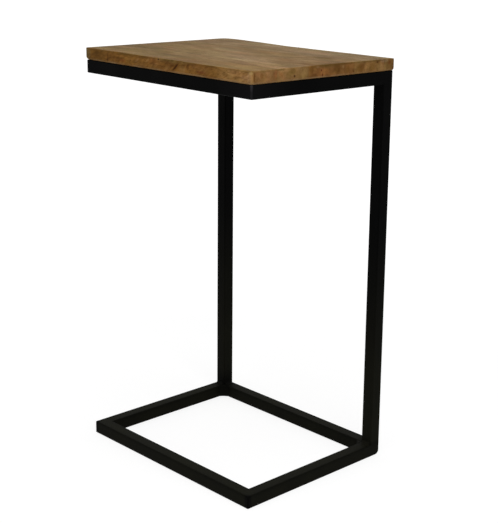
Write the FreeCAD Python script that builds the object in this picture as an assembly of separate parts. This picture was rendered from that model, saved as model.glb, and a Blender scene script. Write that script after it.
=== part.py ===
"""C-shaped side table: an edge-glued hardwood board on a welded frame of square steel tube.

The frame is two C-shaped side frames (top rail, post and base rail, mitred together) joined by
cross rails at the front and back of the top and of the base. The C opens to the front (-Y).
Millimetres, +Z up. The origin is on the floor, under the middle of the base.
"""

import FreeCAD, Part
import os
from FreeCAD import Placement, Rotation, Vector

# ---------------------------------------------------------------- driving dimensions
# Welded frame
frame_length = 406.0        # X, over the outer faces of the two side frames
frame_depth = 310.0         # Y, from the open front to the back of the posts
frame_height = 670.0        # floor to the top of the tube that carries the board
tube_size = 22.0            # square tube, outside
tube_wall = 1.5
tube_inner_radius = 0.7     # rounding inside the tube's corners
heel_inner_radius = 10.5    # inside rounding where the outer wall is folded from post to base rail
mitre_edge_radius = 1.6     # the outer edge of a mitre after grinding

# Weld metal
heel_bead_leg = 10.0        # large fillet in the corner between base back rail and side rail
heel_plug_depth = 2.0       # weld metal that closes the back rail's end behind a rounded heel
foot_bead_leg = 4.5         # fillets round the foot of each post
head_bead_leg = 3.0         # fillets round the head of each post
corner_bead_leg = 3.0       # fillets inside the other frame corners
tab_bead_leg = 3.0          # fillet under each mounting tab
bead_throat_share = 0.42    # how far a fillet's face comes out; a flat face would be 0.5
seam_root = 1.0             # unfilled depth at the bottom of a groove weld
seam_underflush = 0.3       # how far a ground groove weld lies below the tube faces

# Board of edge-glued staves, grain along X
board_thickness = 20.0
board_overhang = 1.5        # past the frame on every side
board_top_radius = 1.5      # eased upper edges
board_underside_radius = 3.0
board_corner_ease = 0.3     # the upright corners are this much rounder than the underside
stave_widths = (51.0, 65.0, 101.0, 70.0, 26.0)   # front to back, scaled to fill the board

# Mounting tabs welded inside the top frame, and their screws
tab_width = 26.0            # along the rail
tab_reach = 20.0            # out from the rail
tab_thickness = 3.0
tab_end_radius = 4.0
tab_from_corner = 60.0      # tab centre on a long rail, from the frame's inner corner
tab_hole_from_rail = 11.0
slot_travel = 4.0           # lets the board swell and shrink across its grain
screw_shank_radius = 2.0
screw_hole_clearance = 0.3  # round the shank, in the tab
pilot_clearance = 0.1       # round the shank, in the board
pilot_extra_depth = 1.0     # below the screw's point
screw_length = 16.0         # under the head
screw_point_length = 3.0
screw_tip_radius = 0.3
screw_head_radius = 4.0
screw_head_height = 2.6
screw_head_edge_radius = 1.2
recess_length = 4.4         # cross recess in the screw head
recess_width = 1.0
recess_depth = 1.5

# ---------------------------------------------------------------- worked-out sizes
tube_outer_radius = tube_wall + tube_inner_radius
heel_outer_radius = tube_wall + heel_inner_radius
half_length = frame_length / 2
half_depth = frame_depth / 2
tube_middle = tube_size / 2
tube_flat = tube_size - 2 * tube_outer_radius      # flat width of a tube face
inner_x = half_length - tube_size                  # inner faces of the side frames
inner_y = half_depth - tube_size                   # inner faces of the cross rails
base_z = tube_middle                               # middle height of the base tubes
top_z = frame_height - tube_middle                 # middle height of the top tubes
board_length = frame_length + 2 * board_overhang
board_depth = frame_depth + 2 * board_overhang
board_corner_radius = board_underside_radius + board_corner_ease
knife_size = 4 * tube_size                         # cutting blocks reach past any tube end
spill = tube_size / 2                              # how far cutting shapes overrun a face

X = Vector(1, 0, 0)
Y = Vector(0, 1, 0)
Z = Vector(0, 0, 1)
SIDES = {"left": -1, "right": 1}


# ---------------------------------------------------------------- building blocks
def save(name, *solids):
    """Write one node; several solids make a group."""
    shape = solids[0] if len(solids) == 1 else Part.makeCompound(solids)
    shape.exportStep(f"parts/{name}.step")


def prism(corners, along):
    """Solid with a polygon section, drawn out along a vector."""
    return Part.Face(Part.makePolygon(corners + corners[:1])).extrude(along)


def square_bar(size, radius, start, end):
    """Square bar with rounded long edges, centred on the line from start to end."""
    run = end - start
    blank = Part.makeBox(size, size, run.Length, Vector(-size / 2, -size / 2, 0))
    long_edges = [edge for edge in blank.Edges if abs(edge.tangentAt(edge.FirstParameter).z) > 0.5]
    bar = blank.makeFillet(radius, long_edges)
    bar.Placement = Placement(start, Rotation(Z, run))
    return bar


def beyond(point, normal):
    """Cutting block that fills the space on the far side of a mitre plane."""
    block = Part.makeBox(knife_size, knife_size, knife_size, Vector(-knife_size / 2, -knife_size / 2, 0))
    block.Placement = Placement(point, Rotation(Z, normal))
    return block


def edge_waste(edge_start, run, inward_a, inward_b, radius):
    """What comes off when the square edge along run is rounded to a radius."""
    outside = edge_start - (inward_a + inward_b) * spill
    reach = radius + spill
    corners = [
        outside,
        outside + inward_a * reach,
        outside + (inward_a + inward_b) * reach,
        outside + inward_b * reach,
    ]
    centre = edge_start + (inward_a + inward_b) * radius
    return prism(corners, run).cut(Part.makeCylinder(radius, run.Length, centre, run))


def tube(start, end, outer_cuts, inner_cuts=()):
    """Square tube between two points, after its ends and edges have been cut."""
    outer = square_bar(tube_size, tube_outer_radius, start, end)
    bore = square_bar(tube_size - 2 * tube_wall, tube_inner_radius, start, end)
    for cut in outer_cuts:
        outer = outer.cut(cut)
    for cut in inner_cuts:
        bore = bore.cut(cut)
    return outer.cut(bore)


def fillet_bead(corner_middle, along, leg_a, leg_b, leg, length):
    """Weld fillet in an inner corner, with a slightly hollow face."""
    root = corner_middle - along * (length / 2)
    toe_a = root + leg_a * leg
    toe_b = root + leg_b * leg
    throat = root + (leg_a + leg_b) * (leg * bead_throat_share)
    face_line = Part.Arc(toe_a, throat, toe_b).toShape()
    section = Part.Wire([
        Part.LineSegment(root, toe_a).toShape(),
        face_line,
        Part.LineSegment(toe_b, root).toShape(),
    ])
    return Part.Face(section).extrude(along * length)


def across(y, z):
    """A line right across the frame along X, past both sides: its start and its run."""
    return Vector(-half_length - spill, y, z), X * (frame_length + 2 * spill)


def heel_edge(radius, inset=0.0):
    """What rounding the heels to a radius takes off, right across the frame; inset from the outer faces."""
    return edge_waste(*across(half_depth - inset, inset), -Y, Z, radius)


def groove_weld(edge_start, run, into_tube, outward):
    """Weld in the groove between a butted rail end and the rounded edge of the tube it meets."""
    depth = tube_outer_radius - seam_root - seam_underflush
    low = edge_start - outward * (seam_underflush + depth)
    wide = into_tube * tube_outer_radius
    block = prism([low, low + wide, low + wide + outward * depth, low + outward * depth], run)
    centre = edge_start + (into_tube - outward) * tube_outer_radius
    return block.cut(Part.makeCylinder(tube_outer_radius, run.Length, centre, run))


# ---------------------------------------------------------------- frame
def front_corner_cuts(side, height, normal_sign):
    """Plan mitre and ground edge of a front corner; the sign chooses which half is kept."""
    corner = Vector(side * half_length, -half_depth, height)
    mitre = beyond(corner, Vector(side, 1, 0) * normal_sign)
    ground_edge = edge_waste(corner - Z * tube_size, Z * (2 * tube_size), X * -side, Y, mitre_edge_radius)
    return [mitre, ground_edge]


def side_frame(side):
    """Top rail, post and base rail of one C."""
    x = side * (half_length - tube_middle)
    foot = Vector(x, half_depth, 0)
    head = Vector(x, half_depth, frame_height)
    heel_round = heel_edge(heel_outer_radius)
    heel_hollow = heel_edge(heel_inner_radius, tube_wall)
    head_edge = edge_waste(*across(half_depth, frame_height), -Y, -Z, mitre_edge_radius)
    base_rail = tube(
        Vector(x, -half_depth, base_z),
        Vector(x, half_depth, base_z),
        front_corner_cuts(side, base_z, -1) + [beyond(foot, Y + Z), heel_round],
        [heel_hollow],
    )
    post = tube(
        Vector(x, half_depth - tube_middle, 0),
        Vector(x, half_depth - tube_middle, frame_height),
        [beyond(foot, -Y - Z), heel_round, beyond(head, Z - Y), head_edge],
        [heel_hollow],
    )
    top_rail = tube(
        Vector(x, -half_depth, top_z),
        Vector(x, half_depth, top_z),
        front_corner_cuts(side, top_z, -1) + [beyond(head, Y - Z), head_edge],
    )
    return base_rail, post, top_rail


def front_rail(z):
    """Cross rail at the open front, mitred to both side frames."""
    y = -half_depth + tube_middle
    cuts = front_corner_cuts(-1, z, 1) + front_corner_cuts(1, z, 1)
    return tube(Vector(-half_length, y, z), Vector(half_length, y, z), cuts)


def back_rail(z):
    """Cross rail between the posts, butted square against both side frames."""
    y = half_depth - tube_middle
    return tube(Vector(-inner_x, y, z), Vector(inner_x, y, z), [])


# ---------------------------------------------------------------- weld metal
def corner_beads(z, back_leg):
    """Upright fillets inside the four corners of the base or the top."""
    beads = []
    for side in SIDES.values():
        for end, leg in ((-1, corner_bead_leg), (1, back_leg)):
            corner = Vector(side * inner_x, end * inner_y, z)
            beads.append(fillet_bead(corner, Z, X * -side, Y * -end, leg, tube_flat))
    return beads


def post_beads(z, up, leg):
    """Fillets where each post meets the side rail in front of it and the back rail beside it."""
    beads = []
    for side in SIDES.values():
        in_front = Vector(side * (half_length - tube_middle), inner_y, z)
        beside = Vector(side * inner_x, half_depth - tube_middle, z)
        beads.append(fillet_bead(in_front, X, -Y, up, leg, tube_flat))
        beads.append(fillet_bead(beside, Y, X * -side, up, leg, tube_flat))
    return beads


def seam_welds():
    """Ground groove welds at the ends of the back rails, on the back face and under the base."""
    base_rise = Z * (tube_size - tube_outer_radius - heel_outer_radius)
    top_rise = Z * (tube_size - tube_outer_radius - mitre_edge_radius)
    under_run = Y * (tube_size - tube_outer_radius - heel_outer_radius)
    welds = []
    for side in SIDES.values():
        into = X * side
        x = side * inner_x
        welds.append(groove_weld(Vector(x, half_depth, heel_outer_radius), base_rise, into, Y))
        top_start = Vector(x, half_depth, frame_height - tube_size + tube_outer_radius)
        welds.append(groove_weld(top_start, top_rise, into, Y))
        welds.append(groove_weld(Vector(x, inner_y + tube_outer_radius, 0), under_run, into, -Z))
    return welds


def heel_plugs():
    """Weld metal that closes each end of the base's back rail where it stands clear of the rounded heel."""
    plugs = []
    for side in SIDES.values():
        end = Vector(side * inner_x, half_depth - tube_middle, base_z)
        start = end - X * (side * heel_plug_depth)
        filling = square_bar(tube_size - 2 * tube_wall, tube_inner_radius, start, end)
        plugs.append(filling.common(heel_edge(heel_outer_radius)))
    return plugs


# ---------------------------------------------------------------- mounting tabs and screws
def tab_places():
    """Each tab's name, the middle of its welded edge, and the direction it reaches in."""
    long_rail_x = inner_x - tab_from_corner
    places = {}
    for name, side in SIDES.items():
        places[f"tab_front_{name}"] = (Vector(side * long_rail_x, -inner_y, frame_height), Y)
        places[f"tab_back_{name}"] = (Vector(side * long_rail_x, inner_y, frame_height), -Y)
        places[f"tab_{name}"] = (Vector(side * inner_x, 0, frame_height), X * -side)
    return places


def hole_centre(edge_middle, reach_direction):
    """Middle of a tab's slot, level with the tab's upper face."""
    return edge_middle + reach_direction * tab_hole_from_rail


def tab(edge_middle, reach_direction):
    """Flat steel tab, flush with the top of the frame, with a slot across the board's grain."""
    blank = Part.makeBox(tab_reach, tab_width, tab_thickness, Vector(0, -tab_width / 2, -tab_thickness))
    free_corners = [
        edge for edge in blank.Edges
        if abs(edge.tangentAt(edge.FirstParameter).z) > 0.5 and edge.CenterOfMass.x > tab_reach / 2
    ]
    plate = blank.makeFillet(tab_end_radius, free_corners)
    plate.Placement = Placement(edge_middle, Rotation(X, reach_direction))
    hole_radius = screw_shank_radius + screw_hole_clearance
    low = hole_centre(edge_middle, reach_direction) - Z * (2 * tab_thickness)
    ends = [low - Y * (slot_travel / 2), low + Y * (slot_travel / 2)]
    side = X * hole_radius
    corners = [ends[0] - side, ends[0] + side, ends[1] + side, ends[1] - side]
    slot = prism(corners, Z * (3 * tab_thickness))
    for end in ends:
        slot = slot.fuse(Part.makeCylinder(hole_radius, 3 * tab_thickness, end, Z))
    return plate.cut(slot)


def tab_bead(edge_middle, reach_direction):
    """Fillet under a tab, along the rail."""
    along = reach_direction.cross(Z)
    under = edge_middle - Z * tab_thickness
    return fillet_bead(under, along, reach_direction, -Z, tab_bead_leg, tab_width - 2 * tab_bead_leg)


def screw(seat):
    """Pan-head wood screw with a cross recess, driven upwards; seat is under the tab."""
    shank_length = screw_length - screw_point_length
    shank = Part.makeCylinder(screw_shank_radius, shank_length, seat, Z)
    point = Part.makeCone(
        screw_shank_radius, screw_tip_radius, screw_point_length, seat + Z * shank_length, Z
    )
    head = Part.makeCylinder(screw_head_radius, screw_head_height, seat - Z * screw_head_height, Z)
    lower_rim = [edge for edge in head.Edges if edge.BoundBox.ZMax < seat.z - screw_head_height / 2]
    rim_circle = [edge for edge in lower_rim if edge.Length > screw_head_radius * 4]
    head = head.makeFillet(screw_head_edge_radius, rim_circle)
    for length, width in ((recess_length, recess_width), (recess_width, recess_length)):
        start = seat - Vector(length / 2, width / 2, screw_head_height)
        head = head.cut(Part.makeBox(length, width, recess_depth, start))
    return head.fuse([shank, point]).removeSplitter()


def pilot_hole(seat):
    """Blind hole in the board for one screw, measured from the board's underside."""
    depth = screw_length - tab_thickness + pilot_extra_depth
    start = Vector(seat.x, seat.y, frame_height)
    return Part.makeCylinder(screw_shank_radius + pilot_clearance, depth, start, Z)


# ---------------------------------------------------------------- board
def whole_board(screw_seats):
    """The glued-up board with eased edges and pilot holes, before it is split into staves."""
    underside = frame_height
    top = frame_height + board_thickness
    blank = Part.makeBox(
        board_length, board_depth, board_thickness, Vector(-board_length / 2, -board_depth / 2, underside)
    )
    upright = [edge for edge in blank.Edges if abs(edge.tangentAt(edge.FirstParameter).z) > 0.5]
    board = blank.makeFillet(board_corner_radius, upright)
    top_loop = [edge for edge in board.Edges if edge.BoundBox.ZMin > top - board_thickness / 2]
    board = board.makeFillet(board_top_radius, top_loop)
    under_loop = [edge for edge in board.Edges if edge.BoundBox.ZMax < underside + board_thickness / 4]
    board = board.makeFillet(board_underside_radius, under_loop)
    for seat in screw_seats:
        board = board.cut(pilot_hole(seat))
    return board


def split_into_staves(board):
    """Cut the board along its glue lines, front to back."""
    scale = board_depth / sum(stave_widths)
    staves = []
    y = -board_depth / 2
    for width in stave_widths:
        slice_box = Part.makeBox(
            board_length, width * scale, board_thickness, Vector(-board_length / 2, y, frame_height)
        )
        staves.append(board.common(slice_box))
        y += width * scale
    return staves


# ---------------------------------------------------------------- the table
def build():
    os.makedirs("parts", exist_ok=True)

    for name, side in SIDES.items():
        base_rail, post, top_rail = side_frame(side)
        save(f"base_rail_{name}", base_rail)
        save(f"post_{name}", post)
        save(f"top_rail_{name}", top_rail)
    save("base_rail_front", front_rail(base_z))
    save("base_rail_back", back_rail(base_z))
    save("top_rail_front", front_rail(top_z))
    save("top_rail_back", back_rail(top_z))

    save("base_corner_beads", *corner_beads(base_z, heel_bead_leg))
    save("top_corner_beads", *corner_beads(top_z, corner_bead_leg))
    save("post_foot_beads", *post_beads(tube_size, Z, foot_bead_leg))
    save("post_head_beads", *post_beads(frame_height - tube_size, -Z, head_bead_leg))
    save("seam_welds", *seam_welds(), *heel_plugs())

    places = tab_places()
    for name, place in places.items():
        save(name, tab(*place))
    save("tab_beads", *[tab_bead(*place) for place in places.values()])
    screw_seats = [hole_centre(*place) - Z * tab_thickness for place in places.values()]
    save("tab_screws", *[screw(seat) for seat in screw_seats])

    for number, stave in enumerate(split_into_staves(whole_board(screw_seats)), start=1):
        save(f"board_stave_{number}", stave)


build()
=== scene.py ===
import math

import bpy
import numpy as np
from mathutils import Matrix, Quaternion, Vector, noise


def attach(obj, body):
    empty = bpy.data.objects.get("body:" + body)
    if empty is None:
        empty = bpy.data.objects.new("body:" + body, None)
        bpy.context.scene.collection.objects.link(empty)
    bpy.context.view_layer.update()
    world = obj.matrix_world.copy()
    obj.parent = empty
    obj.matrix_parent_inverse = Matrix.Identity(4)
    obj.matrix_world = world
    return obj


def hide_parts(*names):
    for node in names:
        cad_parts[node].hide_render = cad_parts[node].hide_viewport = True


# A C-shaped side table: five edge-glued mango staves on a frame of black painted square tube.
# Sizes are in millimetres unless a name says otherwise; Blender works in metres.

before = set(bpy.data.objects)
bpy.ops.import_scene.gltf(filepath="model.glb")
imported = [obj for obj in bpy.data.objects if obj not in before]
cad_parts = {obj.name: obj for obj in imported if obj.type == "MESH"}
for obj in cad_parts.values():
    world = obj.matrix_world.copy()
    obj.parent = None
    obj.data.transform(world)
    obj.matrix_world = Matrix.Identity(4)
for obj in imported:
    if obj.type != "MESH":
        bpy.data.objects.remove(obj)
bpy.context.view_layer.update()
MM = 0.001

# ---------------------------------------------------------------- sizes
tube = 22.0
tube_flat = 17.6                          # flat width of a tube face
half_frame_x, half_frame_y = 203.0, 155.0  # outer faces of the frame
frame_top = 670.0
inner_x, inner_y = half_frame_x - tube, half_frame_y - tube
post_x, post_y = half_frame_x - tube / 2, half_frame_y - tube / 2
half_length, half_depth = 204.5, 156.5    # of the board
underside, top_face = 670.0, 690.0


# ---------------------------------------------------------------- small helpers
def colour(hex_code):
    """An sRGB hex colour as linear RGBA."""
    parts = [int(hex_code[i:i + 2], 16) / 255 for i in (1, 3, 5)]
    return [c / 12.92 if c <= 0.04045 else ((c + 0.055) / 1.055) ** 2.4 for c in parts] + [1.0]


def grey(level):
    """A linear grey that says how strong a pattern is."""
    return level, level, level, 1


def add_node(tree, kind, inputs=None, output=0, stops=None, **settings):
    """Adds a node with its settings; each input takes a value or the socket that feeds it."""
    node = tree.nodes.new("ShaderNode" + kind)
    for name, value in settings.items():
        setattr(node, name, value)
    if stops:
        ramp = node.color_ramp.elements
        ramp[0].position, ramp[0].color = stops[0]
        ramp[1].position, ramp[1].color = stops[-1]
        for position, tint in stops[1:-1]:
            ramp.new(position).color = tint
    for name, value in (inputs or {}).items():
        if isinstance(value, bpy.types.NodeSocket):
            tree.links.new(value, node.inputs[name])
        else:
            node.inputs[name].default_value = value
    return node.outputs[output] if len(node.outputs) else node


def new_material(name):
    material = bpy.data.materials.new(name)
    material.use_nodes = True
    material.node_tree.nodes.clear()
    return material, material.node_tree


def place_in_mm(tree):
    """Where a point of the table is, in millimetres."""
    place = add_node(tree, "TexCoord", output="Object")
    return add_node(tree, "VectorMath", {0: place, 1: (1000, 1000, 1000)}, operation="MULTIPLY")


def seen_by_eye(tree):
    """1 for what is seen directly, in a reflection or through glass, and 0 for what only lights."""
    path = add_node(tree, "LightPath", output="Is Camera Ray")
    seen = add_node(tree, "Math", {0: path, 1: path.node.outputs["Is Glossy Ray"]}, operation="ADD")
    return add_node(tree, "Math", {0: seen, 1: path.node.outputs["Is Transmission Ray"]},
                    operation="ADD", use_clamp=True)


def mesh_piece(name, points_mm, faces, material, nodes, attributes=None, sharp_deg=35):
    """A piece made here: it stands for the CAD nodes and rides with the frame."""
    mesh = bpy.data.meshes.new(name)
    mesh.from_pydata([tuple(p) for p in np.asarray(points_mm) * MM], [], faces)
    mesh.validate()
    mesh.update()
    mesh.shade_smooth()
    mesh.set_sharp_from_angle(angle=math.radians(sharp_deg))
    for key, values in (attributes or {}).items():
        layer = mesh.attributes.new(key, "FLOAT", "POINT")
        layer.data.foreach_set("value", np.asarray(values, np.float32))
    mesh.materials.append(material)
    piece = bpy.data.objects.new(name, mesh)
    bpy.context.scene.collection.objects.link(piece)
    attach(piece, "root")
    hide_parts(*nodes)


# ---------------------------------------------------------------- camera
camera_place = Vector((1.483874, -1.334097, 0.897620))
camera_azimuth, camera_elevation, camera_roll = 0.780184, 0.249142, 0.020685
picture_width, picture_height = 498, 523
focal_px = 1210.24
middle_px = (305.0, 231.0)
sensor_mm = 36

camera = bpy.data.objects.new("camera", bpy.data.cameras.new("camera"))
bpy.context.scene.collection.objects.link(camera)
bpy.context.scene.camera = camera
back = Vector((
    math.sin(camera_azimuth) * math.cos(camera_elevation),
    -math.cos(camera_azimuth) * math.cos(camera_elevation),
    math.sin(camera_elevation),
))
camera.location = camera_place
camera.rotation_mode = "QUATERNION"
camera.rotation_quaternion = Quaternion(back, camera_roll) @ back.to_track_quat("Z", "Y")
camera.data.sensor_width = sensor_mm
camera.data.lens = focal_px / picture_height * sensor_mm
camera.data.shift_x = (picture_width / 2 - middle_px[0]) / picture_height
camera.data.shift_y = (middle_px[1] - picture_height / 2) / picture_height
camera.data.clip_start = 0.05
camera.data.clip_end = 60


# ---------------------------------------------------------------- wood
# Mango in five staves, planed, sanded and oiled. The growth rings are wide and soft, the fibres
# run along the board, and the open pores show as short dark dashes on the long faces and as dots
# on the end grain. The pattern is solid, so that it runs round every edge. The top is a greyer
# brown than the sides, a painted sheen of the pale studio; the sides show the wood's own colour.
dark_share, light_share = (0.60, 0.55, 0.50, 1), (1.42, 1.45, 1.52, 1)
slow_sway, quick_sway = 26, 7             # how far noise pushes the grain sideways
grain_runout = 0.022                      # the rings change this much slower along the board


def palest(tone):
    """The palest shade of a middle tone; the grain darkens it from there."""
    return [part * share for part, share in zip(colour(tone), light_share)]


def stained(tree, surface, place, stains, tint=colour):
    """Lays soft-edged stains on a colour, each with its middle, half size, turn, hue and strength."""
    for middle_mm, half_mm, turn_deg, stain, strength in stains:
        spot = add_node(tree, "Mapping", {
            "Vector": place, "Location": middle_mm, "Scale": half_mm,
            "Rotation": [math.radians(a) for a in turn_deg]}, vector_type="TEXTURE")
        spot = add_node(tree, "VectorMath", {0: spot}, "Value", operation="LENGTH")
        spot = add_node(tree, "MapRange", {
            "Value": spot, "From Min": 0.35, "From Max": 1.0, "To Min": strength, "To Max": 0},
            interpolation_type="SMOOTHSTEP")
        surface = add_node(tree, "MixRGB", {"Fac": spot, "Color1": surface, "Color2": tint(stain)})
    return surface


# where the top is paler or darker, right across the staves, in hues that hold its painted sheen:
# middle and half size in plan, turn, hue and strength
top_patches = (
    ((72, -46), (118, 34), -20, "#8E7755", 0.80),
    ((22, -60), (75, 22), -12, "#856E4A", 0.75),
    ((140, -80), (78, 30), -12, "#876C4A", 0.70),
    ((-45, 22), (55, 28), -20, "#826D4C", 0.75),
    ((-45, 95), (60, 24), -15, "#7C6749", 0.65),
    ((140, 122), (50, 15), 0, "#816B4B", 0.65),
    ((-20, -130), (45, 24), -10, "#78613D", 0.65),
    ((20, -154), (70, 8), 0, "#7A6138", 0.60),
    ((-84, -89), (54, 19), -15, "#5E4923", 0.85),
    ((-120, -114), (48, 22), -12, "#645029", 0.70),
    ((-92, 8), (40, 17), -15, "#6A5431", 0.65),
    ((66, 50), (44, 22), -20, "#654F2B", 0.80),
    ((142, 56), (34, 17), -15, "#5B4624", 0.80),
    ((122, -8), (36, 20), -20, "#684E2C", 0.75),
    ((190, -22), (32, 18), -10, "#563B16", 0.90),
    ((184, 72), (34, 16), 0, "#6E5634", 0.75),
)
top_patch_depth = 9                           # half size in height: they reach down over the edges
top_zones_across = [
    (middle + (top_face,), half + (top_patch_depth,), (0, 0, turn), tone, strength)
    for middle, half, turn, tone, strength in top_patches]


def mango_wood(name, pith, ring_mm, seed, sheened_top_tone, side_tone, zones, marks):
    """One stave: the middle browns of its top, with a painted sheen, and of its oiled sides, and what lies
    in it.
    """
    material, tree = new_material(name)
    mm = place_in_mm(tree)
    # each stave is cut from its own part of the pattern
    shifted = add_node(tree, "VectorMath", {0: mm, 1: (seed * 91, seed * 37, seed * 53)}, operation="ADD")

    # which face of the board this is, from 0 to 1
    normal = add_node(tree, "TexCoord", output="Normal")
    facing = add_node(tree, "VectorMath", {0: normal}, operation="ABSOLUTE")
    sideways = add_node(tree, "SeparateXYZ", {"Vector": facing}, "X")
    long_side = add_node(tree, "MapRange", {
        "Value": sideways.node.outputs["Y"], "From Min": 0.5, "From Max": 0.95, "To Min": 0, "To Max": 1})
    end_grain = add_node(tree, "MapRange", {
        "Value": sideways, "From Min": 0.5, "From Max": 0.95, "To Min": 0, "To Max": 1})
    upward = add_node(tree, "SeparateXYZ", {"Vector": normal}, "Z")
    top = add_node(tree, "MapRange", {
        "Value": upward, "From Min": 0.55, "From Max": 0.97, "To Min": 0, "To Max": 1})
    broad_face = add_node(tree, "MapRange", {
        "Value": sideways.node.outputs["Z"], "From Min": 0.55, "From Max": 0.97, "To Min": 0, "To Max": 1})

    # slow sway of the grain, about 5 mm over 200 mm, and a finer one round small knots
    slow = add_node(tree, "Mapping", {"Vector": shifted, "Scale": (1 / 230, 1 / 70, 1 / 70)})
    slow = add_node(tree, "TexNoise", {"Vector": slow, "Scale": 1, "Detail": 2}, "Color")
    slow = add_node(tree, "VectorMath", {0: slow, 1: (-0.5, -0.5, -0.5)}, operation="ADD")
    quick = add_node(tree, "Mapping", {"Vector": shifted, "Scale": (1 / 38, 1 / 12, 1 / 12)})
    quick = add_node(tree, "TexNoise", {"Vector": quick, "Scale": 1, "Detail": 3}, "Color")
    quick = add_node(tree, "VectorMath", {0: quick, 1: (-0.5, -0.5, -0.5)}, operation="ADD")
    swayed = add_node(tree, "VectorMath", {0: slow, 1: (0, slow_sway, slow_sway), 2: mm},
                      operation="MULTIPLY_ADD")
    swayed = add_node(tree, "VectorMath", {0: quick, 1: (0, quick_sway, quick_sway), 2: swayed},
                      operation="MULTIPLY_ADD")

    # growth rings round the pith, which runs along the board with a slight run-out; the saw and
    # the sander have blurred them on end grain
    across = add_node(tree, "Mapping", {
        "Vector": swayed, "Location": (0, -pith[0], -pith[1]), "Scale": (grain_runout, 1, 1)})
    radius = add_node(tree, "VectorMath", {0: across}, "Value", operation="LENGTH")
    turns = add_node(tree, "Math", {0: radius, 1: 1 / ring_mm}, operation="MULTIPLY")
    turn = add_node(tree, "Math", {0: turns}, operation="FRACT")
    late_wood = add_node(tree, "ValToRGB", {"Fac": turn}, stops=[
        (0.0, grey(0.55)), (0.07, grey(0.28)), (0.5, grey(0.38)),
        (0.8, grey(0.58)), (0.93, grey(0.95)), (1.0, grey(0.55))])
    blurred = add_node(tree, "Math", {0: end_grain, 1: 0.8}, operation="MULTIPLY")
    late_wood = add_node(tree, "MixRGB", {
        "Fac": blurred, "Color1": late_wood, "Color2": grey(0.5)})

    # tone: patches about 90 mm long, blotches of figure 24 mm long, streaks a few millimetres wide,
    # and fibres, which are finer than 0.3 mm: drawn 0.8 mm wide, so that they show
    patch = add_node(tree, "Mapping", {"Vector": shifted, "Scale": (1 / 90, 1 / 30, 1 / 30)})
    patch = add_node(tree, "TexNoise", {"Vector": patch, "Scale": 1, "Detail": 3, "Roughness": 0.55})
    figure = add_node(tree, "Mapping", {"Vector": swayed, "Scale": (1 / 24, 1 / 10, 1 / 10)})
    figure = add_node(tree, "TexNoise", {"Vector": figure, "Scale": 1, "Detail": 3, "Roughness": 0.6})
    streak = add_node(tree, "Mapping", {"Vector": swayed, "Scale": (1 / 95, 1 / 5.5, 1 / 5.5)})
    streak = add_node(tree, "TexNoise", {"Vector": streak, "Scale": 1, "Detail": 3, "Roughness": 0.6})
    fibre = add_node(tree, "Mapping", {"Vector": swayed, "Scale": (1 / 34, 1 / 0.8, 1 / 0.8)})
    fibre = add_node(tree, "TexNoise", {"Vector": fibre, "Scale": 1, "Detail": 2, "Roughness": 0.6})
    # curled grain, which the long sides cut as flecks 13 mm long that slant up to the right
    curl = add_node(tree, "Mapping", {
        "Vector": swayed, "Rotation": (0, math.radians(-32), 0), "Scale": (13, 9, 4.2)},
        vector_type="TEXTURE")
    curl = add_node(tree, "TexNoise", {"Vector": curl, "Scale": 1, "Detail": 2, "Roughness": 0.6})
    curl = add_node(tree, "Math", {0: curl, 1: -0.5}, operation="ADD")
    curl = add_node(tree, "Math", {0: curl, 1: long_side}, operation="MULTIPLY")
    # real pores are about 0.2 mm wide: drawn 0.8 mm wide, so that they show
    pore = add_node(tree, "Mapping", {"Vector": swayed, "Scale": (1 / 7, 1 / 0.8, 1 / 0.8)})
    pore = add_node(tree, "TexNoise", {"Vector": pore, "Scale": 1, "Detail": 1})
    pore = add_node(tree, "MapRange", {
        "Value": pore, "From Min": 0.62, "From Max": 0.70, "To Min": 0, "To Max": 0.75})

    # how much each counts: everywhere, and on top of that on the two broad faces
    depth = add_node(tree, "Math", {0: curl, 1: 0.65}, operation="MULTIPLY")
    pattern_shares = (
        (patch, 0.70, 0.25), (figure, 0.60, -0.38), (streak, 0.26, -0.13), (fibre, 0.27, 0.10),
        (late_wood, 0.22, 0.16))
    for pattern, everywhere, on_broad_faces in pattern_shares:
        share = add_node(tree, "Math", {0: broad_face, 1: on_broad_faces, 2: everywhere},
                         operation="MULTIPLY_ADD")
        depth = add_node(tree, "Math", {0: pattern, 1: share, 2: depth}, operation="MULTIPLY_ADD")
    depth = add_node(tree, "MapRange", {
        "Value": depth, "From Min": 0.84, "From Max": 1.27, "To Min": 0, "To Max": 1})

    # the oiled sides and the top, greyed by a painted sheen, with their paler and darker zones, and the
    # grain on them
    ragged = add_node(tree, "VectorMath", {0: quick, 1: (6, 4, 4), 2: mm}, operation="MULTIPLY_ADD")
    tone = add_node(tree, "MixRGB", {
        "Fac": long_side, "Color1": palest(side_tone), "Color2": colour("#F2E6C2")}, blend_type="MULTIPLY")
    # painted reflection: what faces up takes the greyer top tone, the pale studio's sheen painted in
    tone = add_node(tree, "MixRGB", {"Fac": top, "Color1": tone, "Color2": palest(sheened_top_tone)})
    tone = stained(tree, tone, ragged, top_zones_across + zones, palest)
    shade = add_node(tree, "ValToRGB", {"Fac": depth}, stops=[
        (0.0, (1, 1, 1, 1)), (0.5, [1 / share for share in light_share]),
        (1.0, [dark / light for dark, light in zip(dark_share, light_share)])])
    wood = add_node(tree, "MixRGB", {"Fac": 1, "Color1": tone, "Color2": shade}, blend_type="MULTIPLY")

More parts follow.
